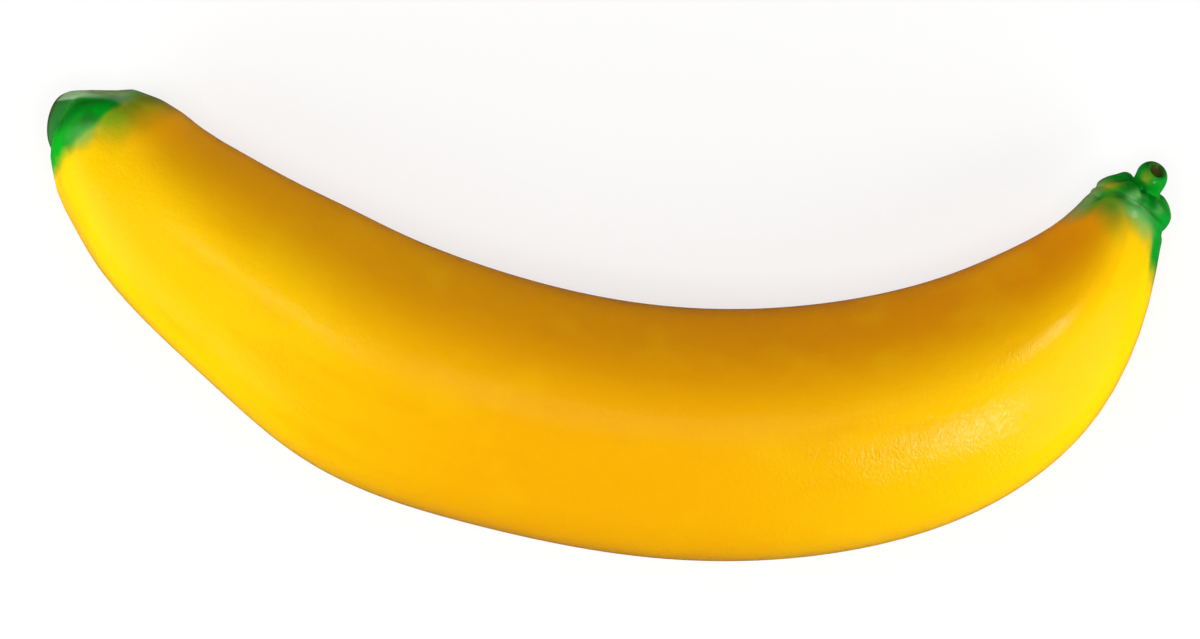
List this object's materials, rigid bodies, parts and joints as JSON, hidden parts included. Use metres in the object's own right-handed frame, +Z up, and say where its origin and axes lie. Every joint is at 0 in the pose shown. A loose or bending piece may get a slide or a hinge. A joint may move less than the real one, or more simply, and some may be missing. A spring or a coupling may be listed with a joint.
{
  "type": "imitation banana",
  "caption": "Oversized imitation banana in painted soft vinyl: a bent five-sided body with a cut stalk and a lobed crown with a knob.",
  "frame": {"origin": "on the surface it lies on, below the middle of its bounding box", "axes": "+X from the cut stalk to the crown, +Y to the inner side of the bend, +Z up, out of the side that shows"},
  "size_m": [0.3744, 0.1564, 0.0779],
  "materials": {
    "painted_vinyl": "satin paint, green at both ends, brown on the cut face and in the dimple"
  },
  "bodies": {
    "root": {"banana": "painted_vinyl"}
  },
  "joints": []
}
